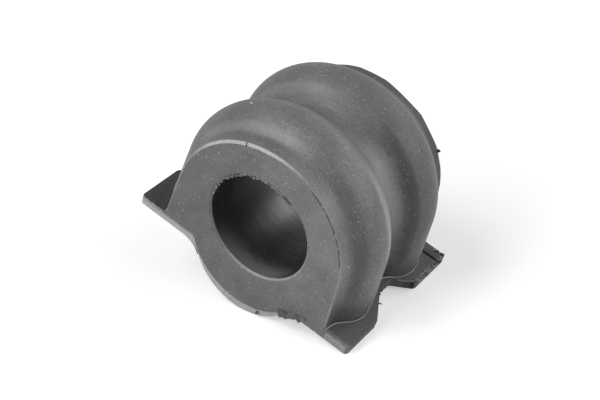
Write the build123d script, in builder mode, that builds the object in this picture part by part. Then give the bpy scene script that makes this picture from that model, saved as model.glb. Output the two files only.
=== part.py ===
from build123d import *

import os
from math import acos, asin, atan2, cos, degrees, hypot, radians, sin, sqrt

# Rubber bush for a stabiliser bar, moulded in one piece.
#
# A straight bore carries the bar. Over it the body is half round, with two round ribs and a groove
# between them. Below the bore the two flanks lean out and run down to a thin wing on each side, which
# the clamp holds. The wings are notched near mid-length, and a round keel hangs below them.
#
# Millimetres. The origin is the middle of the bore, +Y runs along the bore to the rear and +Z is up.
# The keel is round, so the bush can't stand level: it lies on its keel and on the edge of its right
# wing. Everything is drawn upright and turned by lying_roll about the bore.

# ---- Driving dimensions ----
bore_radius = 12.0  # for a bar of 24 mm
bore_mouth_chamfer = 0.5
body_length = 40.0

# Ribs and grooves are round about one line, a little below the bore's axis.
round_centre_drop = 1.4
end_radius = 20.8
end_band = 2.3  # straight, between an end and the foot of its rib
groove_floor_radius = 19.3
rib_radius = 24.9
rib_crest_rounding = 6.8
rib_foot_rounding = 3.4  # where a rib runs out towards its end
flank_lean = 4.0  # degrees, outwards on the way down
end_edge_chamfer = 0.4  # cut edge round each end, above the wings

wing_drop = 12.9  # from the bore's axis down to the wings' upper face
wing_thickness = 2.1
wing_half_span = 28.2
wing_corner_rounding = 0.9

# The notch opens wider than its floor. Its front side is long and shallow, its rear side short.
notch_depth = 4.6
notch_mouth_front = 8.9  # from mid-length towards the front
notch_mouth_rear = 7.4  # from mid-length towards the rear
notch_floor_length = 4.4
notch_floor_shift = 1.4  # of the floor's middle, towards the rear
notch_rounding = 1.5

keel_radius = 13.4
keel_drop = 10.3  # from the bore's axis down to the keel's own centre line
keel_root_fillet = 6.0  # between the keel and the wings' underside

# A shallow crescent step runs along the keel's lower edge at the front.
keel_step_depth = 0.3
keel_step_width = 1.8  # at the bottom of the keel
keel_step_flattening = 2.0  # how much larger than the keel's the radius of its upper edge is

# ---- Sizes that follow ----
half_length = body_length / 2
wing_underside_drop = wing_drop + wing_thickness
wing_tip_below_keel_centre = wing_underside_drop - keel_drop
lying_roll = degrees(
    asin(keel_radius / hypot(wing_half_span, wing_tip_below_keel_centre))
    - atan2(wing_tip_below_keel_centre, wing_half_span)
)
lean = radians(flank_lean)
touching = 0.01  # what is nearer than this counts as in line

# A rib's crest and its foot are two arcs that meet without a corner. They set how far the rib runs.
rib_height = rib_radius - end_radius
rib_turn = acos(1 - rib_height / (rib_crest_rounding + rib_foot_rounding))
rib_run = (rib_crest_rounding + rib_foot_rounding) * sin(rib_turn)
rib_crest = half_length - end_band - rib_run  # from mid-length

# The middle groove is one arc from crest to crest, so its rounding follows from its depth.
groove_depth = rib_radius - groove_floor_radius
groove_rounding = (rib_crest**2 + groove_depth**2) / (2 * groove_depth) - rib_crest_rounding
groove_turn = atan2(rib_crest, rib_crest_rounding + groove_rounding - groove_depth)


def lying(plane):
    """Return a plane of the upright bush, turned about the bore as the bush lies."""
    return Plane(Location((0, 0, 0), (0, lying_roll, 0)) * plane.location)


def clear_above_wings(edge):
    """Tell whether an edge's middle lies above the wings' upper face."""
    return wing_plane.to_local_coords(edge.center()).Z > touching


def at_wing_tip(edge):
    """Tell whether an edge lies as far out as the wings reach."""
    return abs(wing_plane.to_local_coords(edge.center()).X) > wing_half_span - touching


# ---- The bush ----
# The half section stands on the line that the round parts turn about, tipped up by the lean, so that
# the round top and the straight flanks meet without a corner.
section_plane = lying(
    Plane(origin=(0, 0, -round_centre_drop), x_dir=(cos(lean), 0, sin(lean)), z_dir=(-sin(lean), 0, cos(lean)))
)
mirror_plane = lying(Plane.YZ)
wing_plane = lying(Plane.XY.offset(-wing_drop))
wing_underside = lying(Plane.XY.offset(-wing_underside_drop))
front_plane = lying(Plane.XZ.offset(half_length))  # its normal points to the front

with BuildPart() as bush:
    with BuildSketch(section_plane) as half_section:
        with BuildLine():
            groove_arc = CenterArc(
                (groove_floor_radius + groove_rounding, 0), groove_rounding, 180, -degrees(groove_turn)
            )
            CenterArc(
                (rib_radius - rib_crest_rounding, rib_crest),
                rib_crest_rounding,
                -degrees(groove_turn),
                degrees(groove_turn + rib_turn),
            )
            foot_arc = CenterArc(
                (end_radius + rib_foot_rounding, rib_crest + rib_run), rib_foot_rounding, 180, degrees(rib_turn)
            )
            Polyline(foot_arc @ 0, (end_radius, half_length), (0, half_length), (0, 0), groove_arc @ 0)
        make_face()
        mirror(about=Plane.XZ)

    # Flanks: the half section runs straight down past the wings, on both sides.
    extrude(half_section.sketch, amount=-(wing_underside_drop / cos(lean) + rib_radius * sin(lean)))
    mirror(about=mirror_plane)
    split(bisect_by=wing_underside, keep=Keep.TOP)

    # Round top, from one flank over to the other.
    revolve(axis=Axis(section_plane.origin, (0, -1, 0)), revolution_arc=180 - 2 * flank_lean)

    # Keel, and the wings with their notch.
    with BuildSketch(front_plane) as keel_section:
        with Locations((0, -keel_drop)):
            Circle(keel_radius)
    extrude(amount=-body_length)
    with BuildSketch(wing_plane) as wing_outline:
        floor_front = notch_floor_shift - notch_floor_length / 2
        floor_rear = notch_floor_shift + notch_floor_length / 2
        floor_side = wing_half_span - notch_depth
        with BuildLine():
            Polyline(
                (0, -half_length),
                (wing_half_span, -half_length),
                (wing_half_span, -notch_mouth_front),
                (floor_side, floor_front),
                (floor_side, floor_rear),
                (wing_half_span, notch_mouth_rear),
                (wing_half_span, half_length),
                (0, half_length),
                close=True,
            )
        make_face()
        notch_corners = wing_outline.vertices().filter_by_position(Axis.Y, -notch_mouth_front, notch_mouth_rear)
        fillet(notch_corners, notch_rounding)
        mirror(about=Plane.YZ)
    extrude(amount=-wing_thickness)

    # The keel runs out into the wings' underside in a round hollow on each side.
    keel_side = sqrt(keel_radius**2 - wing_tip_below_keel_centre**2)
    root_middles = [wing_underside.from_local_coords((side, 0, 0)) for side in (-keel_side, keel_side)]
    keel_roots = [bush.edges().sort_by_distance(middle)[0] for middle in root_middles]
    fillet(keel_roots, keel_root_fillet)

    # Trimmed edge over the top of both ends, from wing to wing.
    end_edges = bush.faces().sort_by(Axis.Y)[0].edges() + bush.faces().sort_by(Axis.Y)[-1].edges()
    chamfer(end_edges.filter_by(clear_above_wings), end_edge_chamfer)

    # Step along the keel's front edge.
    with BuildSketch(front_plane) as keel_step:
        with Locations((0, -keel_drop)):
            Circle(keel_radius)
        with Locations((0, -(keel_drop - keel_step_flattening - keel_step_width))):
            Circle(keel_radius + keel_step_flattening, mode=Mode.SUBTRACT)
    extrude(amount=-keel_step_depth, mode=Mode.SUBTRACT)

    # Bore, opened a little at both mouths.
    with BuildSketch(front_plane) as bore_section:
        Circle(bore_radius)
    extrude(amount=-body_length, mode=Mode.SUBTRACT)
    chamfer(bush.edges(Select.LAST).filter_by(GeomType.CIRCLE), bore_mouth_chamfer)

    # Wing tips are rounded in plan.
    wing_normal = Axis(wing_plane.origin, wing_plane.z_dir)
    wing_tip_corners = bush.edges().filter_by(wing_normal).filter_by(at_wing_tip)
    fillet(wing_tip_corners, wing_corner_rounding)

bush.part.label = "bush"
os.makedirs("parts", exist_ok=True)
export_step(bush.part, "parts/bush.step")
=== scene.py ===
"""Dresses the rubber bush: one moulded piece with trimmed edges, torn flash and dust, on a pale floor."""

import logging
import math
from dataclasses import dataclass, field
from enum import Enum

import bpy
import numpy as np
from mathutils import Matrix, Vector


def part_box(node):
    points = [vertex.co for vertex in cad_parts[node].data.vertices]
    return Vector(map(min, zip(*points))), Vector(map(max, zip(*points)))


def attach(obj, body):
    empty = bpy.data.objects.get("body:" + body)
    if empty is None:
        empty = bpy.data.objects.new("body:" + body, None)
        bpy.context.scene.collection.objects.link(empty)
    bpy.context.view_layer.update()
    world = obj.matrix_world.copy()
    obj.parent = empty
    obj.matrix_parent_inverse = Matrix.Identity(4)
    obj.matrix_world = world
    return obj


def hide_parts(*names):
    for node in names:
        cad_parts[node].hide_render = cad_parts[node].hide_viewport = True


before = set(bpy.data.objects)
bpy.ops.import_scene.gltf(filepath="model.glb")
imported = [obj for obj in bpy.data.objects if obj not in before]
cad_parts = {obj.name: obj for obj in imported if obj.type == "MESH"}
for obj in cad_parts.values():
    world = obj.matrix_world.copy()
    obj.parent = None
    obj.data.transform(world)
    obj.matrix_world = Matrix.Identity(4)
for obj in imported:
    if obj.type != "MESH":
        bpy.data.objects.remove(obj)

MM = 0.001  # metres in a millimetre
PALE = "pale"  # attribute: how pale a joined bit of flash is
Socket = bpy.types.NodeSocket
Span = tuple[float, float]
Triple = tuple[float, float, float]

logging.basicConfig(level=logging.INFO, format="%(message)s")
log = logging.getLogger("bush")


# ---- Sizes of the bush, upright, in millimetres ----


@dataclass(frozen=True)
class BushSizes:
    """The moulded bush's own sizes, as it stands upright with the bore's middle as origin."""

    bore_radius: float = 12.0
    half_length: float = 20.0
    round_centre: float = -1.4  # height of the line that the round top turns about
    end_radius: float = 20.8
    end_band: float = 2.3
    rib_radius: float = 24.9
    crest_rounding: float = 6.8
    foot_rounding: float = 3.4
    wing_top: float = -12.9
    wing_underside: float = -15.0
    wing_half_span: float = 28.2
    keel_radius: float = 13.4
    keel_centre: float = -10.3
    step_radius: float = 15.4  # of the upper edge of the keel's crescent step
    step_centre: float = -6.5

    @property
    def lying_roll(self) -> float:
        """Give the turn about the bore at which the bush lies on its keel and one wing.

        Returns:
            The turn in radians.
        """
        span = self.wing_half_span
        drop = self.keel_centre - self.wing_underside
        return math.asin(self.keel_radius / math.hypot(span, drop)) - math.atan2(drop, span)

    @property
    def rib_turn(self) -> float:
        """The angle that a rib's crest and foot turn through."""
        height = self.rib_radius - self.end_radius
        return math.acos(1 - height / (self.crest_rounding + self.foot_rounding))

    @property
    def rib_crest(self) -> float:
        """Distance from mid-length to a rib's crest."""
        run = (self.crest_rounding + self.foot_rounding) * math.sin(self.rib_turn)
        return self.half_length - self.end_band - run


# ---- Node trees ----


@dataclass(frozen=True)
class Noise:
    """A noise pattern's settings."""

    scale: float  # bumps per unit of place
    detail: float = 2.0  # finer layers
    rough: float = 0.5  # strength of the finer layers
    stretch: Triple | None = None  # how much closer the bumps lie each way


class NodeSheet:
    """Adds and joins nodes in one material or node group."""

    FIRST_COLOUR, SECOND_COLOUR, MIXED_COLOUR = 6, 7, 2  # a Mix node's sockets for colours

    def __init__(self, tree: bpy.types.NodeTree) -> None:
        """Start on an empty tree."""
        self.tree = tree
        tree.nodes.clear()

    def feed(self, socket: Socket, value: object) -> None:
        """Join an input to another socket, or set its value.

        Args:
            socket: The input.
            value: The socket or plain value that it gets.
        """
        if isinstance(value, Socket):
            self.tree.links.new(value, socket)
        else:
            socket.default_value = value

    def add(self, kind: str, inputs: dict | None = None, **settings: object) -> bpy.types.Node:
        """Add one node.

        Args:
            kind: The node's type name.
            inputs: Socket values or sockets to join, by input name or number.
            **settings: Properties of the node.

        Returns:
            The node.
        """
        node = self.tree.nodes.new(kind)
        for name, value in settings.items():
            setattr(node, name, value)
        for name, value in (inputs or {}).items():
            self.feed(node.inputs[name], value)
        return node

    def group(self, group: bpy.types.NodeTree, inputs: dict) -> bpy.types.NodeOutputs:
        """Place a node group and give its outputs."""
        return self.add("ShaderNodeGroup", inputs, node_tree=group).outputs

    def math(self, operation: str, *values: object, clamp: bool = False) -> Socket:
        """Add a Math node.

        Args:
            operation: The Math node's operation.
            *values: Up to three numbers or sockets.
            clamp: Whether the result is kept from 0 to 1.

        Returns:
            The result socket.
        """
        inputs = dict(enumerate(values))
        return self.add("ShaderNodeMath", inputs, operation=operation, use_clamp=clamp).outputs[0]

    def combine(self, operation: str, values: list) -> Socket:
        """Run one operation through any number of values.

        Args:
            operation: The Math node's operation.
            values: Numbers or sockets.

        Returns:
            The result socket.
        """
        result, *others = values
        for other in others:
            result = self.math(operation, result, other)
        return result

    def weigh(self, *shares: tuple[object, object]) -> Socket:
        """Add up values, each times its share.

        Args:
            *shares: A value and its share, each a number or a socket.

        Returns:
            The sum's socket.
        """
        (value, share), *others = shares
        total = self.math("MULTIPLY", value, share)
        for value, share in others:
            total = self.math("MULTIPLY_ADD", value, share, total)
        return total

    def ramp(self, value: object, low: float, high: float, start: float = 0.0, end: float = 1.0) -> Socket:
        """Map a value smoothly from one range to another, held at the ends.

        Args:
            value: The socket to map.
            low: Value that gives start.
            high: Value that gives end.
            start: Result at low.
            end: Result at high.

        Returns:
            The result socket.
        """
        inputs = {"Value": value, "From Min": low, "From Max": high, "To Min": start, "To Max": end}
        return self.add("ShaderNodeMapRange", inputs, interpolation_type="SMOOTHSTEP").outputs["Result"]

    def noise(self, place: object, pattern: Noise) -> Socket:
        """Add a noise pattern.

        Args:
            place: Where the pattern is read.
            pattern: The pattern's settings.

        Returns:
            The noise value's socket.
        """
        if pattern.stretch:
            inputs = {0: place, 1: pattern.stretch}
            place = self.add("ShaderNodeVectorMath", inputs, operation="MULTIPLY").outputs[0]
        inputs = {"Vector": place, "Scale": pattern.scale}
        inputs |= {"Detail": pattern.detail, "Roughness": pattern.rough}
        return self.add("ShaderNodeTexNoise", inputs).outputs["Fac"]

    def blend(self, share: object, first: object, second: object) -> Socket:
        """Mix two colours.

        Args:
            share: Share of the second colour.
            first: Colour where share is 0.
            second: Colour where share is 1.

        Returns:
            The mixed colour's socket.
        """
        inputs = {"Factor": share, self.FIRST_COLOUR: first, self.SECOND_COLOUR: second}
        return self.add("ShaderNodeMix", inputs, data_type="RGBA").outputs[self.MIXED_COLOUR]


def new_group(name: str, inputs: dict, outputs: dict) -> tuple[NodeSheet, dict, bpy.types.Node]:
    """Start a node group with named sockets.

    Args:
        name: The group's name.
        inputs: Socket types by input name.
        outputs: Socket types by output name.

    Returns:
        The group's sheet, its input sockets by name, and its output node.
    """
    tree = bpy.data.node_groups.new(name, "ShaderNodeTree")
    sheet = NodeSheet(tree)
    for way, sockets in (("INPUT", inputs), ("OUTPUT", outputs)):
        for socket, kind in sockets.items():
            tree.interface.new_socket(socket, in_out=way, socket_type=f"NodeSocket{kind}")
    entry = sheet.add("NodeGroupInput")
    return sheet, {socket: entry.outputs[socket] for socket in inputs}, sheet.add("NodeGroupOutput")


def new_material(name: str) -> tuple[bpy.types.Material, NodeSheet, Socket]:
    """Start a material.

    Args:
        name: The material's name.

    Returns:
        The material, its sheet, and the socket that gives places on the object.
    """
    material = bpy.data.materials.new(name)
    material.use_nodes = True
    sheet = NodeSheet(material.node_tree)
    return material, sheet, sheet.add("ShaderNodeTexCoord").outputs["Object"]


def grey(level: float) -> tuple[float, float, float, float]:
    """Give a neutral colour of one linear level."""
    return (level, level, level, 1.0)


# ---- Zones of the skin ----


class Reading(Enum):
    """What a place on the upright bush is read by, in millimetres."""

    ACROSS = "Across"  # to the right of the bore's line
    ALONG = "Along"  # behind mid-length
    HEIGHT = "Height"  # above the bore's line
    SIDE = "Side"  # to either side of the bore's line
    AWAY = "Away"  # from mid-length, towards either end
    LOW_RIGHT = "Low Right"  # towards the lower right
    RING = "Ring"  # from the line that the round top turns about
    BORE = "Bore"  # from the bore's line
    KEEL = "Keel"  # from the line that the crescent step's upper edge turns about


ACROSS, ALONG, HEIGHT, SIDE, AWAY, LOW_RIGHT, RING, BORE, KEEL = Reading
PLACE_SOCKETS = {"Place": "Vector"} | {reading.value: "Float" for reading in Reading}
BAND_CORE = 0.2  # share of a band's reach that is marked in full


class Mask(Enum):
    """The masks that the rubber's finish reads."""

    BORE = "Bore"
    # painted light on the bore's floor near the front mouth
    BORE_MOUTH_LIGHT = "Bore Mouth Light"
    # painted shade
    DARK = "Dark"
    # painted highlights
    PAINTED_HIGHLIGHT = "Bright"
    # a painted highlight along the front rib's limb
    LIMB_HIGHLIGHT = "Limb Highlight"
    # a painted shadow in the crease behind the front face's edge
    CREASE = "Crease"
    # painted highlights on the bore's lip and the face's outer edge
    EDGE = "Edge"
    TRIMMED = "Trimmed"


@dataclass(frozen=True)
class Limit:
    """A soft limit of a zone, by a reading or by a noise that breaks the zone up."""

    reading: Reading | Noise
    outside: float  # reading with no mark yet
    inside: float  # reading with the full mark
    ragged: float = 0.0  # how far the limit wanders
    least: float = 0.0
    most: float = 1.0
    narrowing: "Limit | None" = None  # its mask is taken off the reading

    def mask(self, sheet: NodeSheet, sockets: dict, wander: Socket) -> Socket:
        """Mark the limit's inner side.

        Args:
            sheet: The group's sheet.
            sockets: The group's inputs by name.
            wander: Noise round 0, for ragged limits.

        Returns:
            The mask's socket.
        """
        if isinstance(self.reading, Noise):
            value = sheet.noise(sockets["Place"], self.reading)
        else:
            value = sockets[self.reading.value]
        if self.ragged:
            value = sheet.math("MULTIPLY_ADD", wander, self.ragged, value)
        if self.narrowing:
            value = sheet.math("SUBTRACT", value, self.narrowing.mask(sheet, sockets, wander))
        return sheet.ramp(value, self.outside, self.inside, self.least, self.most)


@dataclass(frozen=True)
class Band:
    """A soft band round one reading."""

    reading: Reading
    middle: float
    reach: float
    ragged: float = 1.2  # how far the band wanders

    def mask(self, sheet: NodeSheet, sockets: dict, wander: Socket) -> Socket:
        """Mark the band.

        Args:
            sheet: The group's sheet.
            sockets: The group's inputs by name.
            wander: Noise round 0.

        Returns:
            The mask's socket.
        """
        value = sheet.math("MULTIPLY_ADD", wander, self.ragged, sockets[self.reading.value])
        off = sheet.math("ABSOLUTE", sheet.math("SUBTRACT", value, self.middle))
        return sheet.ramp(off, self.reach, self.reach * BAND_CORE)


Zone = tuple[Limit | Band, ...]  # a zone lies where all of these hold


def zones_group(name: str, unrest: Noise, zones: dict[Mask, list[Zone]]) -> bpy.types.NodeTree:
    """Make a group that marks zones of the skin.

    Args:
        name: The group's name.
        unrest: The noise that ragged limits follow.
        zones: The zones of each mask.

    Returns:
        The group, with one output for each mask: the strongest of its zones.
    """
    outputs = {mask.value: "Float" for mask in zones}
    sheet, sockets, out = new_group(name, PLACE_SOCKETS, outputs)
    wander = sheet.math("SUBTRACT", sheet.noise(sockets["Place"], unrest), 0.5)
    for mask, parts in zones.items():
        marks = []
        for zone in parts:
            limits = [limit.mask(sheet, sockets, wander) for limit in zone]
            marks.append(sheet.combine("MULTIPLY", limits))
        sheet.feed(out.inputs[mask.value], sheet.combine("MAXIMUM", marks))
    return sheet.tree


def skin_zones(sizes: BushSizes) -> dict[Mask, list[Zone]]:
    """Lay out where the moulded skin differs, and where shade and highlights are painted on it.

    Args:
        sizes: The bush's sizes.

    Returns:
        The zones by mask.
    """
    front, rear = -sizes.half_length, sizes.half_length
    wing_top, wing_underside, bore_radius = sizes.wing_top, sizes.wing_underside, sizes.bore_radius
    above_wings = Limit(HEIGHT, wing_top - 0.4, wing_top - 0.1)
    front_strip = (Limit(ALONG, front + 0.01, front + 0.08), Limit(ALONG, front + 0.55, front + 0.4))

    # Painted shade: these zones darken the skin where shade falls, towards the left and the bottom, at the
    # flanks' roots, on the rear band and on rib slopes and feet. The left wing's top is partly painted shade
    # from the body and partly cleaner, darker rubber; the rear wings are darker too.
    left_wing = (
        Limit(HEIGHT, wing_top - 0.35, wing_top - 0.15),
        Limit(HEIGHT, -9.0, -12.5),
        Limit(ACROSS, -20.8, -21.6),
        Limit(ALONG, front + 0.1, front + 0.3),
    )
    flank_roots = (
        Limit(HEIGHT, -3.0, -11.0, ragged=2.0, most=0.75),
        Limit(SIDE, 16.0, 20.0),
        Limit(AWAY, rear - 0.3, rear - 1.2),
    )
    rear_wings = (
        Limit(HEIGHT, wing_top + 0.4, wing_top + 0.1),
        Limit(HEIGHT, wing_underside - 1.0, wing_underside),
        Limit(SIDE, 18.0, 21.0),
        Limit(ALONG, 1.0, 6.0, most=0.85),
    )
    rear_band = (Limit(ALONG, 16.8, 17.9), Limit(RING, 18.0, 19.0, most=0.75))
    rear_rib_slope = (Band(ALONG, 4.8, 1.95), Limit(ACROSS, 1.0, 14.0, most=0.72), above_wings)
    rear_rib_rise = (Band(ALONG, 5.4, 3.2), Limit(ACROSS, -8.0, -1.0, most=0.32), above_wings)
    rear_rib_foot = (Band(ALONG, 15.8, 2.4), Limit(HEIGHT, 4.0, -4.0, most=0.45), above_wings)
    front_rib_slope = (Band(ALONG, -14.9, 2.0), Limit(ACROSS, 4.0, 12.0, most=0.42), above_wings)
    front_rib_foot = (Band(ALONG, -17.3, 1.1), Limit(ACROSS, -1.0, -6.0, most=0.24), above_wings)
    notch_slope = (Band(ALONG, -5.5, 4.0), Limit(HEIGHT, 2.0, -4.0, most=0.7), above_wings)
    rear_half = (Limit(ALONG, 2.5, 6.5), Limit(ACROSS, -14.0, -7.0, least=0.16, most=0.33))
    left_side = (Limit(ACROSS, 0.0, -16.0, most=0.3),)
    low_side = (Limit(HEIGHT, -6.0, -17.0, most=0.26),)

    # Painted highlights: where light falls brighter on the groove floor, a crest's side, the front band, the
    # gleaming slopes and the rear flank.
    groove_floor = (Band(ALONG, 1.2, 3.4), Limit(ACROSS, 6.0, 13.0), Limit(HEIGHT, -3.0, 11.0, most=1.3))
    crest_side = (Band(ALONG, -6.9, 2.6), Limit(ACROSS, 10.0, 16.5), Limit(HEIGHT, 0.0, 6.0, most=1.3))
    front_band = (Band(ALONG, -18.8, 2.4), Limit(ACROSS, 6.0, 12.0), Limit(HEIGHT, 0.0, 5.0, most=0.4))
    front_gleam = (Band(ALONG, -15.2, 1.3), Limit(ACROSS, 4.0, -3.0), Limit(HEIGHT, 5.0, 11.0, most=0.85))
    rear_gleam = (Band(ALONG, 4.1, 1.3), Limit(ACROSS, -5.0, -9.0), Limit(HEIGHT, 5.0, 10.0, most=0.8))
    rear_flank = (Band(ALONG, 11.5, 4.0), Limit(ACROSS, 15.0, 20.0), Limit(HEIGHT, 5.0, -3.0, most=0.45))

    # A painted shadow in the crease just behind the front face's upper right edge.
    crease_shadow = (
        Band(RING, sizes.end_radius - 0.38, 0.17, ragged=0.15),
        Limit(Noise(0.7), 0.38, 0.5),
        Limit(ALONG, front + 0.5, front + 0.3),
        Limit(ACROSS, 5.5, 9.0),
        Limit(HEIGHT, 3.0, 6.0),
    )
    # Painted highlights on the bore's lip, strongest to the lower right, and on the face's outer edge,
    # strongest low down.
    bore_lip = (Limit(BORE, bore_radius + 0.42, bore_radius + 0.28), Limit(LOW_RIGHT, 2.0, 9.0, least=0.25))
    outer_edge = (
        Limit(BORE, 15.0, 16.0),
        Limit(HEIGHT, wing_top + 0.3, wing_top + 0.8),
        Limit(HEIGHT, 9.0, 3.0, least=0.35, most=0.8),
    )
    bore = (Limit(BORE, bore_radius + 0.08, bore_radius + 0.02), Limit(AWAY, rear - 0.42, rear - 0.52))
    # Painted light on the bore's floor near the front mouth, where light reaches in.
    pale_bore = (Limit(ALONG, front + 6.5, front + 1.5, ragged=3.0), Limit(HEIGHT, -6.0, -11.0))
    # A painted highlight along the front rib's limb, just behind its crest, on the right.
    limb_highlight = (
        Band(ALONG, 1.4 - sizes.rib_crest, 0.3, ragged=0.5),
        Limit(ACROSS, 12.0, 17.0),
        Limit(HEIGHT, 0.0, 6.0),
    )
    return {
        Mask.BORE: [bore],
        Mask.BORE_MOUTH_LIGHT: [pale_bore],
        Mask.DARK: [
            left_wing, flank_roots, rear_wings, rear_band, rear_rib_slope, rear_rib_rise, rear_rib_foot,
            front_rib_slope, front_rib_foot, notch_slope, rear_half, left_side, low_side,
        ],
        Mask.PAINTED_HIGHLIGHT: [groove_floor, crest_side, front_band, front_gleam, rear_gleam, rear_flank],
        Mask.LIMB_HIGHLIGHT: [limb_highlight],
        Mask.CREASE: [crease_shadow],
        Mask.EDGE: [bore_lip + front_strip, outer_edge + front_strip],
    }


def trimmed_zones(sizes: BushSizes) -> dict[Mask, list[Zone]]:
    """Lay out where a knife trimmed the rubber and left it pale and rough.

    Args:
        sizes: The bush's sizes.

    Returns:
        The zones of the trimmed mask.
    """
    front, wing_top = -sizes.half_length, sizes.wing_top
    wing_fronts = (
        Limit(ALONG, front + 0.15, front + 0.02),
        Limit(SIDE, 22.1, 22.6, ragged=0.9),
        Limit(HEIGHT, wing_top, wing_top - 0.1, ragged=0.8),
        Limit(Noise(2.4, 3.0), 0.38, 0.5, least=0.14, most=0.48),
    )
    keel_crescent = (
        Limit(ALONG, front + 0.5, front + 0.32),
        Limit(KEEL, sizes.step_radius - 0.4, sizes.step_radius - 0.25, ragged=0.9),
        Limit(HEIGHT, -13.0, -14.0),
        Limit(ACROSS, 12.5, 11.0, most=0.9),
    )
    to_the_right = Limit(ACROSS, -4.0, 4.0, most=0.3)
    top_land = (
        Limit(RING, sizes.end_radius - 0.6, sizes.end_radius - 0.45, ragged=0.5, narrowing=to_the_right),
        Limit(ALONG, front + 0.7, front + 0.45),
        Limit(ACROSS, -20.5, -15.0, least=0.25),
        Limit(ACROSS, 9.0, -2.0, least=0.1),
        Limit(HEIGHT, 3.0, 8.0),
    )
    rear_wing_rim = (
        Limit(ACROSS, 27.1, 27.6, ragged=1.6),
        Limit(Noise(1.7, 4.0, 0.7), 0.48, 0.56, most=0.5),
        Limit(ALONG, 6.5, 8.0),
        Limit(HEIGHT, wing_top + 0.3, wing_top + 0.1),
        Limit(HEIGHT, wing_top - 1.3, wing_top - 0.6),
    )
    return {Mask.TRIMMED: [wing_fronts, keel_crescent, top_land, rear_wing_rim]}


def upright_group(sizes: BushSizes) -> bpy.types.NodeTree:
    """Make the group that reads a place on the lying bush as if it stood upright, in millimetres.

    Args:
        sizes: The bush's sizes.

    Returns:
        The group, with the place and all its readings.
    """
    sheet, sockets, out = new_group("upright place", {"Object": "Vector"}, PLACE_SOCKETS)
    turn = {"Vector": sockets["Object"], "Rotation": (0, -sizes.lying_roll, 0), "Scale": (1 / MM,) * 3}
    place = sheet.add("ShaderNodeMapping", turn).outputs["Vector"]
    across, along, height = sheet.add("ShaderNodeSeparateXYZ", {"Vector": place}).outputs
    readings = {
        ACROSS: across,
        ALONG: along,
        HEIGHT: height,
        SIDE: sheet.math("ABSOLUTE", across),
        AWAY: sheet.math("ABSOLUTE", along),
        LOW_RIGHT: sheet.math("SUBTRACT", across, height),
    }
    for reading, centre in ((RING, sizes.round_centre), (BORE, 0.0), (KEEL, sizes.step_centre)):
        lift = sheet.math("SUBTRACT", height, centre)
        squares = sheet.math("MULTIPLY_ADD", lift, lift, sheet.math("POWER", across, 2.0))
        readings[reading] = sheet.math("SQRT", squares)
    sheet.feed(out.inputs["Place"], place)
    for reading, value in readings.items():
        sheet.feed(out.inputs[reading.value], value)
    return sheet.tree


# ---- Finishes ----


@dataclass(frozen=True)
class Specks:
    """Small round specks of dust, in millimetres."""

    spacing: float
    size: float
    share: float  # of the spaces that hold a speck


def specks_group() -> bpy.types.NodeTree:
    """Make the group that scatters specks of uneven size and strength.

    Returns:
        The group, which takes the place, spacing, size and share, and gives one mask.
    """
    smallest, faintest, soft_rim = 0.35, 0.2, 0.5
    inputs = {"Place": "Vector", "Spacing": "Float", "Size": "Float", "Share": "Float"}
    sheet, sockets, out = new_group("specks", inputs, {"Mask": "Float"})
    closeness = sheet.math("DIVIDE", 1.0, sockets["Spacing"])
    scaling = {0: sockets["Place"], "Scale": closeness}
    spread = sheet.add("ShaderNodeVectorMath", scaling, operation="SCALE").outputs[0]
    cells = sheet.add("ShaderNodeTexVoronoi", {"Vector": spread, "Scale": 1.0}).outputs
    chance = sheet.add("ShaderNodeSeparateColor", {"Color": cells["Color"]}).outputs
    width = sheet.math("MULTIPLY", sockets["Size"], sheet.math("ADD", chance["Green"], smallest))
    reach = sheet.math("DIVIDE", width, sockets["Spacing"])
    near = sheet.math("SUBTRACT", 1.0, sheet.math("DIVIDE", cells["Distance"], reach), clamp=True)
    chosen = sheet.math("LESS_THAN", chance["Red"], sockets["Share"])
    strength = sheet.math("ADD", chance["Blue"], faintest, clamp=True)
    marks = [sheet.ramp(near, 0.0, soft_rim), sheet.math("MULTIPLY", chosen, strength)]
    sheet.feed(out.inputs["Mask"], sheet.combine("MULTIPLY", marks))
    return sheet.tree


@dataclass(frozen=True)
class Skin:
    """What the rubber's finish reads at one place."""

    place: Socket
    masks: dict[Mask, Socket]
    cloud: Socket
    stipple: Socket
    grain: Socket
    rings: Socket
    fine_dust: Socket
    middling_dust: Socket
    large_dust: Socket
    on_flash: Socket  # how pale a joined bit is
    torn: Socket


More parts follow.
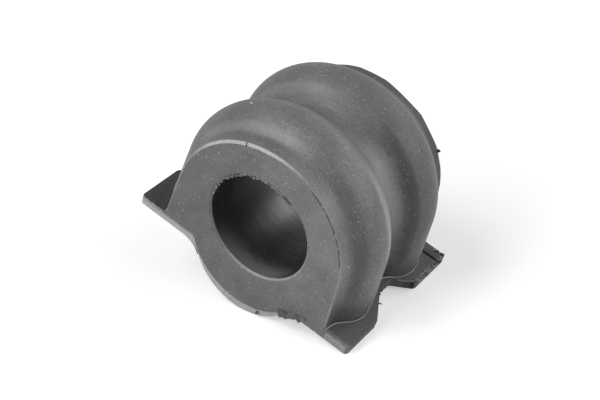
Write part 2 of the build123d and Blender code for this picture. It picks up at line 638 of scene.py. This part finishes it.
@dataclass(frozen=True)
class RubberFinish:
    """Matte moulded rubber: grained, dusty, and paler where it was trimmed, with painted shade and painted
    highlights. Colours are linear levels.
    """

    body: float = 0.092
    body_light: float = 0.182
    # grey of trimmed faces, also of the painted highlights on edges and along the rib's limb
    trimmed: float = 0.50
    # grey of dust specks, and of the painted highlights
    dust: float = 0.62
    # grey of the painted shade and the crease's painted shadow, and of torn flash
    shade_and_torn: float = 0.024
    bore: float = 0.018
    # grey of the bore's painted light near the mouth and of its drag rings
    pale_bore: float = 0.14
    roughness: float = 0.46
    bore_roughness: float = 0.34

    highlight_share: float = 0.2  # of the dust grey in the painted highlights
    fine_dust_share: float = 0.45
    bore_dust_share: float = 0.5
    limb_highlight_share: float = 0.35
    edge_highlight_share: float = 0.5
    torn_share: float = 0.65
    bump: float = 0.5
    bump_height: float = 0.1  # millimetres
    matt_spread: Span = (-0.06, 0.08)  # what the grain adds to the roughness
    dark_matt: float = 0.25  # added to the roughness where shade is painted

    cloud: Noise = Noise(0.16, 3.0, 0.55)
    stipple: Noise = Noise(2.4, 2.0, 0.8)
    grain: Noise = Noise(5.5, 3.0, 0.75)
    drag_marks: Noise = Noise(0.8, 3.0, 0.7, stretch=(0.35, 3.0, 0.35))
    bore_rings: Noise = Noise(1.0, 3.0, 0.6, stretch=(0.12, 3.0, 0.12))
    clusters: Noise = Noise(0.2)
    trim_streaks: Noise = Noise(2.2, 4.0, 0.75)
    trim_relief: Noise = Noise(2.0, 4.0, 0.7)
    skin_unrest: Noise = Noise(0.9, 3.0, 0.6)
    trim_unrest: Noise = Noise(1.3, 4.0, 0.65)
    fine: Specks = Specks(0.5, 0.15, 0.5)
    middling: Specks = Specks(1.5, 0.14, 0.24)
    large: Specks = Specks(5.0, 0.34, 0.2)

    def read(self, sheet: NodeSheet, here: Socket, sizes: BushSizes) -> Skin:
        """Place the groups and patterns that the finish reads.

        Args:
            sheet: The material's sheet.
            here: Places on the object.
            sizes: The bush's sizes.

        Returns:
            The readings.
        """
        upright = sheet.group(upright_group(sizes), {"Object": here})
        place = upright["Place"]
        inputs = {name: upright[name] for name in PLACE_SOCKETS}
        masks = {}
        for name, unrest, zones in (
            ("skin zones", self.skin_unrest, skin_zones(sizes)),
            ("trimmed edges", self.trim_unrest, trimmed_zones(sizes)),
        ):
            marked = sheet.group(zones_group(name, unrest, zones), inputs)
            masks |= {mask: marked[mask.value] for mask in zones}

        on_flash = sheet.add("ShaderNodeAttribute", attribute_name=PALE).outputs["Fac"]
        torn = sheet.math("MULTIPLY", sheet.math("MINIMUM", on_flash, 0.0), -1.0)
        untorn = sheet.math("SUBTRACT", 1.0, torn)
        masks[Mask.TRIMMED] = sheet.math("MULTIPLY", masks[Mask.TRIMMED], untorn)

        specks = specks_group()
        often = sheet.ramp(sheet.noise(place, self.clusters), 0.42, 0.62, 0.1, 1.0)
        dust = []
        for kind, share in (
            (self.fine, sheet.math("MULTIPLY", often, self.fine.share)),
            (self.middling, sheet.math("MULTIPLY", often, self.middling.share)),
            (self.large, self.large.share),
        ):
            settings = {"Place": place, "Spacing": kind.spacing, "Size": kind.size, "Share": share}
            dust.append(sheet.group(specks, settings)["Mask"])
        noises = (self.cloud, self.stipple, self.grain, self.bore_rings)
        patterns = [sheet.noise(place, noise) for noise in noises]
        return Skin(place, masks, *patterns, *dust, on_flash, torn)

    def skin_colour(self, sheet: NodeSheet, skin: Skin) -> Socket:
        """Colour the moulded skin, from grain, painted highlights, painted shade, and dust.

        Args:
            sheet: The material's sheet.
            skin: The readings.

        Returns:
            The colour's socket.
        """
        drag = sheet.noise(skin.place, self.drag_marks)
        shade = sheet.weigh((skin.cloud, 0.2), (skin.stipple, 0.42), (skin.grain, 0.2), (drag, 0.18))
        colour = sheet.blend(sheet.ramp(shade, 0.38, 0.62), grey(self.body), grey(self.body_light))
        # painted highlights, in the dust grey
        highlight = sheet.math("MULTIPLY", skin.masks[Mask.PAINTED_HIGHLIGHT], self.highlight_share)
        colour = sheet.blend(highlight, colour, grey(self.dust))
        # painted shade
        colour = sheet.blend(skin.masks[Mask.DARK], colour, grey(self.shade_and_torn))
        fine = sheet.math("MULTIPLY", skin.fine_dust, self.fine_dust_share)
        dust = sheet.combine("MAXIMUM", [fine, skin.middling_dust, skin.large_dust])
        return sheet.blend(dust, colour, grey(self.dust))

    def bore_colour(self, sheet: NodeSheet, skin: Skin) -> Socket:
        """Colour the bore, from drag rings, painted light on its floor near the mouth, and dust specks.

        Args:
            sheet: The material's sheet.
            skin: The readings.

        Returns:
            The colour's socket.
        """
        ringed = sheet.ramp(skin.rings, 0.45, 0.7)
        drawn = sheet.math("MULTIPLY", ringed, sheet.ramp(skin.cloud, 0.45, 0.62, 0.0, 0.3))
        # painted light by the mouth, and pale drag rings
        light_and_rings = sheet.math("MAXIMUM", skin.masks[Mask.BORE_MOUTH_LIGHT], drawn)
        colour = sheet.blend(light_and_rings, grey(self.bore), grey(self.pale_bore))
        specks = sheet.math("MULTIPLY", skin.middling_dust, self.bore_dust_share)
        return sheet.blend(specks, colour, grey(self.dust))

    def edge_colour(self, sheet: NodeSheet, skin: Skin, colour: Socket) -> Socket:
        """Make trimmed faces and flash pale, paint highlights on the edges and along the rib's limb, paint
        the crease's shadow and make torn bits dark.

        Args:
            sheet: The material's sheet.
            skin: The readings.
            colour: The colour elsewhere.

        Returns:
            The colour's socket.
        """
        streaks = sheet.ramp(sheet.noise(skin.place, self.trim_streaks), 0.25, 0.7, 0.5, 1.0)
        # trimmed grey, also used for the painted highlights on edges and the rib's limb
        cut_and_highlight = sheet.blend(streaks, grey(self.body), grey(self.trimmed))
        # painted highlight along the rib's limb
        line = sheet.math("MULTIPLY", skin.masks[Mask.LIMB_HIGHLIGHT], self.limb_highlight_share)
        edge = sheet.math("MULTIPLY", skin.masks[Mask.EDGE], self.edge_highlight_share)
        pale = sheet.combine("MAXIMUM", [skin.masks[Mask.TRIMMED], edge, skin.on_flash, line])
        colour = sheet.blend(pale, colour, cut_and_highlight)
        torn = sheet.math("MULTIPLY", skin.torn, self.torn_share)
        # painted shadow in the crease, and dark torn bits
        return sheet.blend(sheet.math("MAXIMUM", skin.masks[Mask.CREASE], torn), colour, grey(self.shade_and_torn))

    def relief(self, sheet: NodeSheet, skin: Skin) -> Socket:
        """Raise the grain, the trimmed faces' roughness and the bore's drag rings.

        Args:
            sheet: The material's sheet.
            skin: The readings.

        Returns:
            The normal's socket.
        """
        rough_cut = sheet.noise(skin.place, self.trim_relief)
        rings = sheet.math("MULTIPLY", skin.rings, skin.masks[Mask.BORE])
        height = sheet.weigh(
            (skin.grain, 0.5), (skin.stipple, 0.5), (skin.masks[Mask.TRIMMED], rough_cut), (rings, 0.5)
        )
        inputs = {"Height": height, "Strength": self.bump, "Distance": self.bump_height * MM}
        return sheet.add("ShaderNodeBump", inputs).outputs["Normal"]

    def build(self, sizes: BushSizes) -> bpy.types.Material:
        """Build the material.

        Args:
            sizes: The bush's sizes.

        Returns:
            The rubber material.
        """
        material, sheet, here = new_material("moulded rubber")
        skin = self.read(sheet, here, sizes)
        in_bore = skin.masks[Mask.BORE]
        colour = sheet.blend(in_bore, self.skin_colour(sheet, skin), self.bore_colour(sheet, skin))
        least, most = (self.roughness + spread for spread in self.matt_spread)
        matt = sheet.ramp(skin.grain, 0.3, 0.7, least, most)
        matt = sheet.math("MULTIPLY_ADD", skin.masks[Mask.DARK], self.dark_matt, matt)
        gloss = sheet.math("MULTIPLY_ADD", in_bore, sheet.math("SUBTRACT", self.bore_roughness, matt), matt)
        coat = sheet.math("MULTIPLY", in_bore, sheet.ramp(skin.rings, 0.4, 0.6, 0.6, 1.0))
        inputs = {
            "Base Color": self.edge_colour(sheet, skin, colour),
            "Roughness": gloss,
            "Coat Weight": coat,
            "Coat Roughness": self.bore_roughness,
            "Normal": self.relief(sheet, skin),
        }
        shader = sheet.add("ShaderNodeBsdfPrincipled", inputs)
        sheet.add("ShaderNodeOutputMaterial", {"Surface": shader.outputs[0]})
        return material


@dataclass(frozen=True)
class FloorFinish:
    """Plain pale floor that the camera sees as white apart from the bush's shadow."""

    level: float = 0.80
    level_spread: float = 0.01
    mottle: Noise = Noise(40.0)
    roughness: float = 0.9
    glow: float = 0.45

    def build(self) -> bpy.types.Material:
        """Build the material.

        Returns:
            The floor material.
        """
        material, sheet, here = new_material("pale floor")
        mottle = sheet.noise(here, self.mottle)
        colour = sheet.blend(mottle, grey(self.level - self.level_spread), grey(self.level))
        matt = {"Base Color": colour, "Roughness": self.roughness}
        plain = sheet.add("ShaderNodeBsdfPrincipled", matt).outputs[0]
        glow = sheet.add("ShaderNodeEmission", {"Color": grey(1.0), "Strength": self.glow}).outputs[0]
        ray = sheet.add("ShaderNodeLightPath").outputs
        seen = sheet.math("MAXIMUM", ray["Is Camera Ray"], ray["Is Glossy Ray"])
        lit = sheet.add("ShaderNodeAddShader", {0: plain, 1: glow}).outputs[0]
        mixed = sheet.add("ShaderNodeMixShader", {0: seen, 1: plain, 2: lit}).outputs[0]
        sheet.add("ShaderNodeOutputMaterial", {"Surface": mixed})
        return material


# ---- Modelling ----


def deselect_all() -> None:
    """Leave object mode with nothing selected."""
    if bpy.context.object and bpy.context.object.mode != "OBJECT":
        bpy.ops.object.mode_set(mode="OBJECT")
    bpy.ops.object.select_all(action="DESELECT")


def pick(piece: bpy.types.Object) -> None:
    """Make one object the only selected and active one.

    Args:
        piece: The object.
    """
    deselect_all()
    piece.select_set(True)
    bpy.context.view_layer.objects.active = piece


def apply_modifier(piece: bpy.types.Object, kind: str, **settings: object) -> None:
    """Add a modifier and apply it.

    Args:
        piece: The object to change.
        kind: The modifier's type.
        **settings: Properties of the modifier.
    """
    pick(piece)
    modifier = piece.modifiers.new(kind.lower(), kind)
    for name, value in settings.items():
        setattr(modifier, name, value)
    bpy.ops.object.modifier_apply(modifier=modifier.name)


def join(piece: bpy.types.Object, others: list[bpy.types.Object]) -> bpy.types.Object:
    """Join some objects into one.

    Args:
        piece: The object that stays.
        others: The objects that go into it.

    Returns:
        The object that stays.
    """
    deselect_all()
    for other in others:
        other.select_set(True)
    piece.select_set(True)
    bpy.context.view_layer.objects.active = piece
    bpy.ops.object.join()
    return piece


def turn_about_bore(piece: bpy.types.Object, angle: float) -> None:
    """Turn a piece about the bore and keep the turn in its mesh.

    Args:
        piece: The object to turn.
        angle: The turn in radians.
    """
    pick(piece)
    piece.rotation_euler = (0.0, angle, 0.0)
    bpy.ops.object.transform_apply(location=False, rotation=True, scale=False)


def mark_pale(piece: bpy.types.Object, level: float) -> None:
    """Write how pale a bit of flash is, at each of its points.

    Args:
        piece: The bit.
        level: Below 0, torn and dark; at 0, as the body; at 1, as pale as a trimmed face.
    """
    attribute = piece.data.attributes.new(PALE, "FLOAT", "POINT")
    attribute.data.foreach_set("value", [level] * len(piece.data.vertices))


@dataclass(frozen=True)
class Crumb:
    """One small torn bit of flash, or the bit that a nick takes out, upright, in millimetres and degrees."""

    DRAWN_OUT = 0.4  # how far the far end is drawn out, as a share of the bit's height
    LEANING = 0.2  # how far it leans, as a share of the bit's width
    WORN = 0.2  # its corners' wear, as a share of its least size

    place: Triple
    size: Triple
    turn: Triple = (0.0, 0.0, 0.0)
    taper: float = 1.0  # width of the far end, as a share
    pale: float = -1.0

    def model(self) -> bpy.types.Object:
        """Model the bit as a block with its corners worn and its far end drawn out to one side.

        Returns:
            The new object.
        """
        deselect_all()
        bpy.ops.mesh.primitive_cube_add(size=MM, scale=self.size)
        bit = bpy.context.object
        bpy.ops.object.transform_apply(location=False, rotation=False, scale=True)
        if self.taper < 1.0:
            self.draw_out(bit)
        bit.location = Vector(self.place) * MM
        bit.rotation_euler = tuple(math.radians(angle) for angle in self.turn)
        bpy.ops.object.transform_apply(location=True, rotation=True, scale=False)
        apply_modifier(bit, "BEVEL", width=min(self.size) * self.WORN * MM, segments=1)
        mark_pale(bit, self.pale)
        return bit

    def draw_out(self, bit: bpy.types.Object) -> None:
        """Draw the block's upper face out into a tip.

        Args:
            bit: The block.
        """
        facing_up = 0.9
        width, _, height = self.size
        bpy.ops.object.mode_set(mode="EDIT")
        bpy.ops.mesh.select_all(action="DESELECT")
        bpy.ops.object.mode_set(mode="OBJECT")
        for face in bit.data.polygons:
            face.select = face.normal.z > facing_up
        bpy.ops.object.mode_set(mode="EDIT")
        move = {"value": (0, 0, height * self.DRAWN_OUT * MM)}
        bpy.ops.mesh.extrude_region_move(TRANSFORM_OT_translate=move)
        bpy.ops.transform.resize(value=(self.taper, self.taper, 1.0))
        bpy.ops.transform.translate(value=(width * self.LEANING * MM, 0, 0))
        bpy.ops.object.mode_set(mode="OBJECT")


@dataclass(frozen=True)
class SeamBead:
    """A fine raised line of flash along a bent path, upright, in millimetres."""

    path: tuple[Triple, ...]
    width: float = 0.36
    pale: float = 0.8

    def model(self) -> bpy.types.Object:
        """Model the bead as a thin round line, made a mesh.

        Returns:
            The new object.
        """
        curve = bpy.data.curves.new("bead", "CURVE")
        curve.dimensions = "3D"
        curve.bevel_depth = self.width / 2 * MM
        curve.bevel_resolution = 1
        curve.resolution_u = 6
        curve.use_fill_caps = True
        spline = curve.splines.new("NURBS")
        spline.points.add(len(self.path) - 1)
        for point, place in zip(spline.points, self.path):
            point.co = (*(value * MM for value in place), 1.0)
        spline.order_u = 3
        spline.use_endpoint_u = True
        bead = bpy.data.objects.new("bead", curve)
        bpy.context.scene.collection.objects.link(bead)
        pick(bead)
        bpy.ops.object.convert(target="MESH")
        mark_pale(bpy.context.object, self.pale)
        return bpy.context.object

    def mirrored(self, left_out: int) -> "SeamBead":
        """Give the same line on the other side, without its last few points."""
        path = tuple((-x, y, z) for x, y, z in self.path[:-left_out])
        return SeamBead(path, self.width, self.pale)


@dataclass(frozen=True)
class MouthFringe:
    """The fine torn fringe round the upper left of the bore's front mouth, in millimetres and degrees."""

    first: float = -100.0  # angle from the top, clockwise
    last: float = 12.0
    step: float = 1.6
    depth: float = 0.2  # behind the front face
    wander: Span = (-0.8, 0.8)  # of the angle
    reach: Span = (-0.12, 0.3)  # outwards from the bore
    widths: Span = (0.15, 0.5)
    depths: Span = (0.3, 0.5)
    heights: Span = (0.25, 0.7)
    tilts: Span = (-20.0, 20.0)
    pales: Span = (0.0, 0.3)
    seed: int = 7

    def crumbs(self, sizes: BushSizes) -> list[Crumb]:
        """Lay out the fringe's bits.

        Args:
            sizes: The bush's sizes.

        Returns:
            The bits.
        """
        rng = np.random.default_rng(self.seed)
        bits = []
        for angle in np.arange(self.first, self.last, self.step):
            turn = math.radians(angle + rng.uniform(*self.wander))
            reach = sizes.bore_radius + rng.uniform(*self.reach)
            place = (reach * math.sin(turn), self.depth - sizes.half_length, reach * math.cos(turn))
            size = (rng.uniform(*self.widths), rng.uniform(*self.depths), rng.uniform(*self.heights))
            tilt = rng.uniform(*self.tilts)
            bits.append(Crumb(place, size, (0.0, math.degrees(turn), tilt), pale=rng.uniform(*self.pales)))
        return bits


# Seams where the right wing's upper face meets the flank, front and rear, and a ridge by the notch.
SEAM_FRONT = SeamBead((
    (21.75, -19.7, -12.85), (21.9, -18.0, -12.85), (22.3, -16.25, -12.85), (23.55, -14.7, -12.85),
    (24.98, -12.7, -12.6), (25.65, -10.8, -12.2), (25.66, -10.1, -11.1), (25.54, -10.05, -9.6),
))
SEAM_REAR = SeamBead((
    (21.6, 1.0, -12.85), (22.4, 3.4, -12.85), (24.05, 5.0, -12.85), (25.22, 6.9, -12.6), (25.72, 8.9, -12.3),
    (25.7, 9.9, -11.6), (25.62, 10.1, -10.6), (25.54, 10.15, -9.7),
))
NOTCH_RIDGE = SeamBead(
    ((24.7, 4.6, -12.9), (25.9, 5.5, -12.88), (26.7, 6.4, -12.88), (27.4, 7.3, -12.92)), width=0.3, pale=0.35
)
BEADS = (SEAM_FRONT, SEAM_REAR, SEAM_FRONT.mirrored(left_out=2), SEAM_REAR.mirrored(left_out=3), NOTCH_RIDGE)
# Angle from the top in degrees, and how much lower than the end's round edge each cut runs, in millimetres.
REAR_TRIM = (
    (-52, 0.3), (-40, 0.5), (-28, 0.45), (-20, 0.35), (-12, 0.65), (-1.5, 0.6), (5, 0.75),
    (11, 1.0), (19, 0.85), (29, 0.5), (41, 0.75), (50, 0.4), (63, 0.45),
)
# Torn bits of flash: along the keel's front edge, in the right wing's notch, on the rear wing, in the bore's
# mouth and on the rear end's edge.
KEEL_FLASH = (
    Crumb((6.4, -20.05, -21.1), (0.6, 0.4, 0.6), (0, 20, 0), 0.4),
    Crumb((11.4, -19.95, -16.5), (1.3, 0.5, 1.6), (0, 160, 0), 0.2),
    Crumb((12.4, -19.9, -16.3), (2.1, 0.6, 1.0), (10, 25, 0), 0.4),
    Crumb((12.9, -20.0, -16.1), (0.7, 0.5, 1.6), (0, 195, 0), 0.3),
    Crumb((14.0, -20.0, -15.4), (1.7, 0.6, 1.3), (0, -15, 20), 0.6, -0.3),
    Crumb((15.3, -19.95, -14.8), (2.0, 0.5, 0.8), (0, 35, 0), 0.5),
    Crumb((16.5, -19.95, -14.1), (1.4, 0.5, 0.8), (0, -20, 0), 0.5, -0.2),
)
NOTCH_FLASH = (
    Crumb((25.3, -3.9, -13.5), (0.25, 0.25, 1.1), (0, 80, 25), 0.3),
    Crumb((23.9, -1.7, -13.4), (0.9, 0.5, 0.3), (0, 0, 40), 0.5),
    Crumb((23.6, 0.1, -13.6), (0.7, 0.9, 0.3), (0, 20, 10), 0.5),
    Crumb((23.6, 1.7, -13.6), (0.6, 1.2, 0.3), (0, 30, 0), 0.5, -0.3),
)
REAR_WING_FLASH = (
    Crumb((28.1, 17.9, -13.4), (0.6, 1.3, 0.5), (0, 40, 10), 0.5),
    Crumb((28.1, 12.0, -13.5), (0.5, 1.0, 0.5), (0, 50, -10), 0.5),
    Crumb((28.0, 8.9, -13.6), (0.4, 0.8, 0.5), (0, 50, 10), 0.5, 0.5),
    Crumb((26.1, 19.3, -12.9), (1.0, 0.7, 0.25), (0, 0, 40), 0.7, -1.4),
    Crumb((27.5, 19.6, -12.95), (1.0, 0.6, 0.3), (0, 0, 15), 0.7, -1.4),
    Crumb((27.9, 15.9, -12.95), (0.5, 1.3, 0.3), (0, 0, -8), 0.5, -1.2),
    Crumb((27.8, 6.6, -13.4), (0.7, 1.6, 0.7), (0, 20, 20), 0.6),
)
MOUTH_FLASH = (Crumb((4.0, -19.6, 11.05), (2.2, 0.4, 0.6), (0, 14, 0), 0.6, -1.5),)
REAR_EDGE_FLASH = (Crumb((16.35, 19.6, 10.9), (0.7, 0.6, 1.1), (0, 50, 0), 0.4),)
FLASH = KEEL_FLASH + NOTCH_FLASH + REAR_WING_FLASH + MOUTH_FLASH + REAR_EDGE_FLASH
# What a knife or a tear took out of the edges: the rear wing's groove first.
NICKS = (
    Crumb((25.6, 16.85, -12.9), (5.6, 0.8, 1.1), (0, 0, 1)),
    Crumb((26.8, 20.0, -12.9), (0.4, 0.5, 0.6), (0, 0, 30)),
    Crumb((28.3, 13.6, -12.9), (0.5, 1.3, 0.8), (0, 0, 20)),
    Crumb((28.3, 10.4, -13.0), (0.5, 0.8, 0.9), (0, 0, -25)),
    Crumb((-8.4, -20.1, 17.7), (0.3, 0.9, 1.6), (0, -26, 0)),
    Crumb((11.3, -19.9, 4.6), (1.6, 0.6, 0.5), (0, 20, 0)),
    Crumb((-25.4, -20.1, -12.8), (0.5, 0.8, 0.5), (0, 10, 0)),
    Crumb((-23.6, -20.1, -12.8), (0.7, 0.7, 0.45), (0, -15, 0)),
)


@dataclass
class RubberBush:
    """The moulded bush, shaped upright and then laid down."""

    sizes: BushSizes = BushSizes()
    edge_rounding: float = 0.09  # millimetres
    sharp_angle: float = 32.0  # degrees, from which edges are rounded
    smooth_angle: float = 30.0
    flat_angle: float = 0.3  # below which neighbouring triangles are one face
    merge_distance: float = 0.001  # millimetres
    cut_tolerance: float = 1e-7  # metres
    left_notch_shift: float = 1.1  # how much further back the left notch begins
    fringe: MouthFringe = MouthFringe()
    piece: bpy.types.Object = field(init=False)

    def cast(self) -> None:
        """Copy the frame's own solid, stand it upright and join its loose triangles."""
        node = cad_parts["bush"]
        self.piece = bpy.data.objects.new("rubber_bush", node.data.copy())
        bpy.context.scene.collection.objects.link(self.piece)
        self.piece.data.materials.clear()
        turn_about_bore(self.piece, -self.sizes.lying_roll)
        pick(self.piece)
        bpy.ops.object.mode_set(mode="EDIT")
        bpy.ops.mesh.select_all(action="SELECT")
        bpy.ops.mesh.remove_doubles(threshold=self.merge_distance * MM)
        bpy.ops.mesh.customdata_custom_splitnormals_clear()
        bpy.ops.mesh.dissolve_limited(angle_limit=math.radians(self.flat_angle))
        bpy.ops.object.mode_set(mode="OBJECT")
        log.info("cast: %d faces", len(self.piece.data.polygons))

    def lengthen_left_wing(self) -> None:
        """Draw the front corner of the left wing's notch back a little."""
        outward, middle, reach, under = -25.5, -8.4, 2.4, -12.8
        rows = np.empty(len(self.piece.data.vertices) * 3)
        self.piece.data.vertices.foreach_get("co", rows)
        rows = rows.reshape(-1, 3) / MM
        corner = (rows[:, 0] < outward) & (np.abs(rows[:, 1] - middle) < reach) & (rows[:, 2] < under)
        rows[corner, 1] += self.left_notch_shift
        self.piece.data.vertices.foreach_set("co", (rows * MM).ravel())
        self.piece.data.update()

    def rear_edge(self, angle: float, depth: float) -> Vector:
        """Give a place on the rear end's upper edge, in metres.

        Args:
            angle: Angle from the top, in degrees.
            depth: How much lower than the round edge, in millimetres.

        Returns:
            The place.
        """
        turn, reach = math.radians(angle), self.sizes.end_radius - depth
        lift = self.sizes.round_centre + reach * math.cos(turn)
        return Vector((reach * math.sin(turn), self.sizes.half_length, lift)) * MM

    def trim_rear_end(self) -> None:
        """Trim the rear end's upper edge with straight cuts that don't quite line up."""
        pick(self.piece)
        bpy.ops.object.mode_set(mode="EDIT")
        for start, end in zip(REAR_TRIM[:-1], REAR_TRIM[1:]):
            place = self.rear_edge(*start)
            run = self.rear_edge(*end) - place
            outward = Vector((-run.z, 0, run.x)).normalized()
            bpy.ops.mesh.select_all(action="SELECT")
            bpy.ops.mesh.bisect(
                plane_co=place,
                plane_no=(outward + Vector((0, 1, 0))).normalized(),
                use_fill=True,
                clear_outer=True,
                threshold=self.cut_tolerance,
            )
        bpy.ops.object.mode_set(mode="OBJECT")

    def cut_nicks(self) -> None:
        """Cut the knife groove and the nicks out of the edges."""
        first, *others = [nick.model() for nick in NICKS]
        tool = join(first, others)
        apply_modifier(self.piece, "BOOLEAN", operation="DIFFERENCE", object=tool, solver="EXACT")
        bpy.data.objects.remove(tool)
        log.info("nicked: %d faces", len(self.piece.data.polygons))

    def round_edges(self) -> None:
        """Break the sharp edges a little, as moulded rubber has them."""
        apply_modifier(
            self.piece,
            "BEVEL",
            width=self.edge_rounding * MM,
            segments=2,
            limit_method="ANGLE",
            angle_limit=math.radians(self.sharp_angle),
            use_clamp_overlap=False,
            loop_slide=False,
        )

    def tear_flash(self) -> None:
        """Add the torn bits of flash that hang on the edges, and the seams' raised lines."""
        bits = [crumb.model() for crumb in (*FLASH, *self.fringe.crumbs(self.sizes))]
        beads = [bead.model() for bead in BEADS]
        join(self.piece, bits + beads)
        log.info("flash: %d torn bits, %d seam beads", len(bits), len(beads))

    def finish(self, material: bpy.types.Material) -> None:
        """Lay the bush down, dress it and put it in the node's place.

        Args:
            material: The rubber.
        """
        turn_about_bore(self.piece, self.sizes.lying_roll)
        bpy.ops.object.shade_smooth_by_angle(angle=math.radians(self.smooth_angle))
        self.piece.data.materials.clear()
        self.piece.data.materials.append(material)
        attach(self.piece, "root")
        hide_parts("bush")
        log.info("%s: dressed, %d faces", self.piece.name, len(self.piece.data.polygons))


# ---- Studio ----


@dataclass(frozen=True)
class Lamp:
    """One square soft light that faces the bush."""

    name: str
    azimuth: float  # degrees round from the front, towards the right
    height: float  # degrees above the floor
    watts: float
    size: float = 0.5
    distance: float = 0.9

    def hang(self) -> None:
        """Hang the light."""
        around, up = math.radians(self.azimuth), math.radians(self.height)
        level = Vector((math.sin(around), -math.cos(around), 0.0)) * math.cos(up)
        place = level + Vector((0.0, 0.0, math.sin(up)))
        light = bpy.data.lights.new(self.name, "AREA")
        light.shape = "SQUARE"
        light.size = self.size
        light.energy = self.watts
        holder = bpy.data.objects.new(self.name, light)
        holder.location = place * self.distance
        holder.rotation_euler = (-place).to_track_quat("-Z", "Y").to_euler()
        bpy.context.scene.collection.objects.link(holder)
        log.info("%s: %.1f W", self.name, self.watts)


@dataclass
class Studio:
    """Floor, soft light and the camera. Places are in metres."""

    floor_height: float
    floor_size: float = 6.0
    lamps: tuple[Lamp, ...] = (
        Lamp("front softbox", azimuth=-20, height=28, watts=3.7),
        Lamp("left softbox", azimuth=-45, height=55, watts=3.6),
        Lamp("right softbox", azimuth=100, height=28, watts=2.9),
        Lamp("rear softbox", azimuth=150, height=30, watts=2.2),
    )
    ambient: float = 0.04  # strength of the surroundings as a light
    camera_place: Triple = (0.1401, -0.2080, 0.1615)
    camera_back: Triple = (0.4736, -0.6874, 0.5507)
    lens: float = 83.71  # millimetres
    sensor: float = 36.0
    clip: Span = (0.01, 20.0)

    def lay_floor(self) -> None:
        """Lay a wide floor under the bush."""
        deselect_all()
        bpy.ops.mesh.primitive_plane_add(size=self.floor_size, location=(0, 0, self.floor_height))
        floor = bpy.context.object
        floor.name = "floor"
        bpy.ops.object.transform_apply(location=True)
        floor.data.materials.append(FloorFinish().build())
        log.info("floor: %.1f m wide", self.floor_size)

    def light(self) -> None:
        """Hang the lights and set the surroundings."""
        for lamp in self.lamps:
            lamp.hang()
        world = bpy.data.worlds.new("surroundings")
        world.use_nodes = True
        bpy.context.scene.world = world
        sheet = NodeSheet(world.node_tree)
        ray = sheet.add("ShaderNodeLightPath").outputs
        rays = [ray["Is Camera Ray"], ray["Is Glossy Ray"], ray["Is Transmission Ray"]]
        seen = sheet.combine("MAXIMUM", rays)
        strength = sheet.math("MULTIPLY_ADD", seen, 1.0 - self.ambient, self.ambient)
        back = sheet.add("ShaderNodeBackground", {"Color": grey(1.0), "Strength": strength})
        sheet.add("ShaderNodeOutputWorld", {"Surface": back.outputs[0]})

    def place_camera(self) -> None:
        """Place the camera."""
        data = bpy.data.cameras.new("camera")
        data.lens = self.lens
        data.sensor_width = self.sensor
        data.clip_start, data.clip_end = self.clip
        camera = bpy.data.objects.new("camera", data)
        camera.location = self.camera_place
        camera.rotation_mode = "QUATERNION"
        camera.rotation_quaternion = (-Vector(self.camera_back)).to_track_quat("-Z", "Y")
        bpy.context.scene.collection.objects.link(camera)
        bpy.context.scene.camera = camera
        log.info("camera: %.1f mm lens", self.lens)


def main() -> None:
    """Build the bush and its studio in order."""
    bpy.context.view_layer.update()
    bpy.context.scene.view_settings.view_transform = "Standard"
    bush = RubberBush()
    bush.cast()
    bush.lengthen_left_wing()
    bush.trim_rear_end()
    bush.cut_nicks()
    bush.round_edges()
    bush.tear_flash()
    bush.finish(RubberFinish().build(bush.sizes))
    lowest_corner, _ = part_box("bush")
    studio = Studio(floor_height=lowest_corner.z)
    studio.lay_floor()
    studio.light()
    studio.place_camera()


if __name__ == "__main__":
    main()
